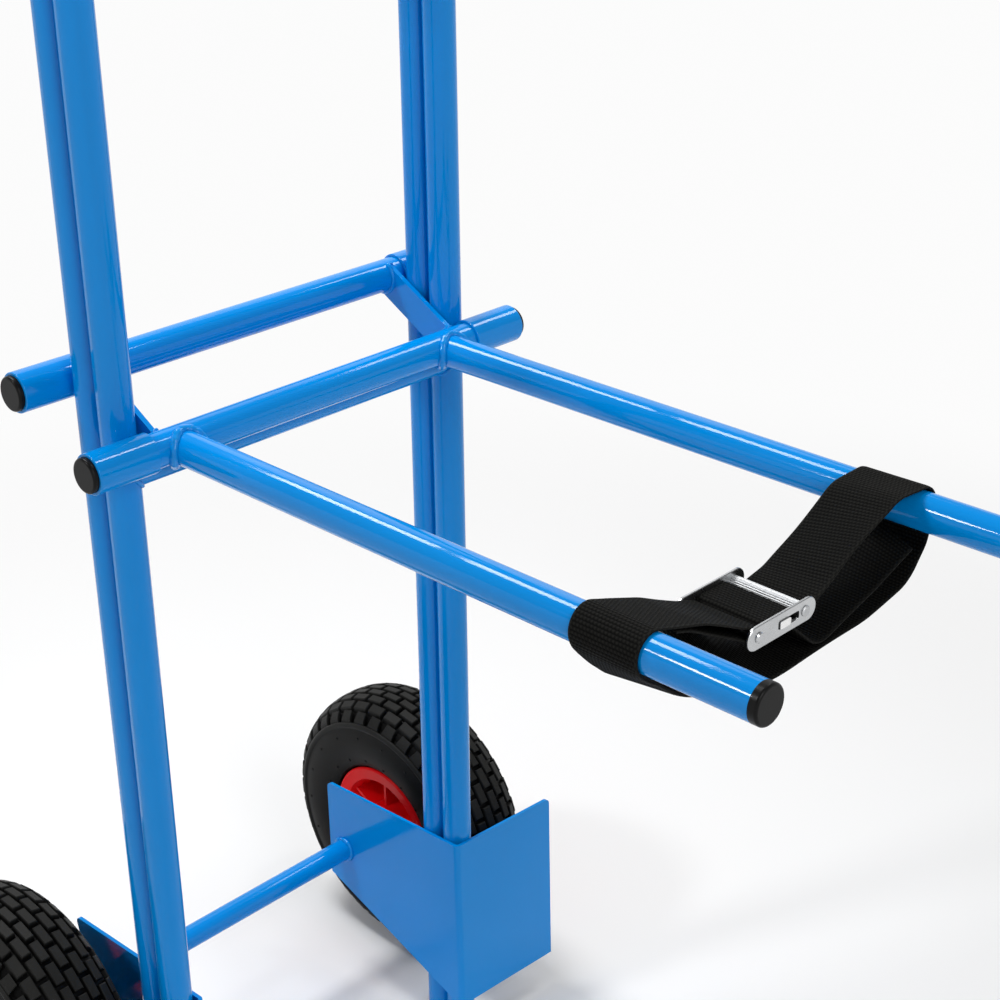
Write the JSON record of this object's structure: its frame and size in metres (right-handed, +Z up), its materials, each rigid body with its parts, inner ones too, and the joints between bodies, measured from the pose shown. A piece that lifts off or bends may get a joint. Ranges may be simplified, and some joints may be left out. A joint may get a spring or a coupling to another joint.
{
  "type": "chair trolley",
  "caption": "Two-wheeled hand trolley for stacked chairs: double-tube uprights carry a sliding fork carriage with a buckled strap, guarded pneumatic wheels and swept-back handles.",
  "frame": {"origin": "on the floor under the middle of the trolley's box", "axes": "+X to the left hand of the person who pushes, -Y the way the fork points, +Z up"},
  "size_m": [0.536, 0.7914, 1.1867],
  "materials": {
    "blue_paint": "glossy blue powder coat",
    "black_plastic": "satin black moulding",
    "grip_rubber": "soft black grip",
    "red_plastic": "glossy red moulding",
    "tyre_rubber": "black tyre rubber",
    "tube_rubber": "butyl inner tube",
    "zinc_steel": "bright zinc plate",
    "webbing": "black woven webbing"
  },
  "bodies": {
    "frame": {"left_front_upright": "blue_paint", "right_front_upright": "blue_paint", "left_rear_upright": "blue_paint", "right_rear_upright": "blue_paint", "stop_cross_tube": "blue_paint", "top_cross_tube": "blue_paint", "foot_plugs": "black_plastic", "upright_top_plugs": "black_plastic", "left_grip": "grip_rubber", "right_grip": "grip_rubber", "axle": "blue_paint", "left_wheel_guard": "blue_paint", "right_wheel_guard": "blue_paint", "axle_spacers": "black_plastic", "axle_washers": "zinc_steel", "split_pins": "zinc_steel"},
    "fork_carriage": {"carriage_front_tube": "blue_paint", "carriage_rear_tube": "blue_paint", "left_front_sleeve": "blue_paint", "right_front_sleeve": "blue_paint", "left_rear_sleeve": "blue_paint", "right_rear_sleeve": "blue_paint", "carriage_tube_plugs": "black_plastic", "left_side_bar": "blue_paint", "right_side_bar": "blue_paint", "left_arm": "blue_paint", "right_arm": "blue_paint", "arm_caps": "black_plastic", "strap": "webbing", "buckle_front_plate": "zinc_steel", "buckle_rear_plate": "zinc_steel", "buckle_anchor_bar": "zinc_steel", "buckle_knurled_bar": "zinc_steel"},
    "strap_lock_bar": {"buckle_slide_bar": "zinc_steel"},
    "left_wheel": {"left_tyre": "tyre_rubber", "left_rim": "red_plastic", "left_inner_tube": "tube_rubber", "left_valve_cap": "black_plastic", "left_bearings": "zinc_steel"},
    "right_wheel": {"right_tyre": "tyre_rubber", "right_rim": "red_plastic", "right_inner_tube": "tube_rubber", "right_valve_cap": "black_plastic", "right_bearings": "zinc_steel"}
  },
  "joints": [
    {"name": "carriage_slide", "type": "slide", "parent": "frame", "child": "fork_carriage", "axis": [0, 0, 1], "range_m": [0, 0.314]},
    {"name": "strap_lock_slide", "type": "slide", "parent": "fork_carriage", "child": "strap_lock_bar", "axis": [1, 0, 0], "range_m": [-0.0006, 0.005]},
    {"name": "left_wheel_spin", "type": "hinge", "parent": "frame", "child": "left_wheel", "pos_m": [0.217, 0.26569, 0.13], "axis": [1, 0, 0], "continuous": true},
    {"name": "right_wheel_spin", "type": "hinge", "parent": "frame", "child": "right_wheel", "pos_m": [-0.217, 0.26569, 0.13], "axis": [1, 0, 0], "continuous": true}
  ]
}
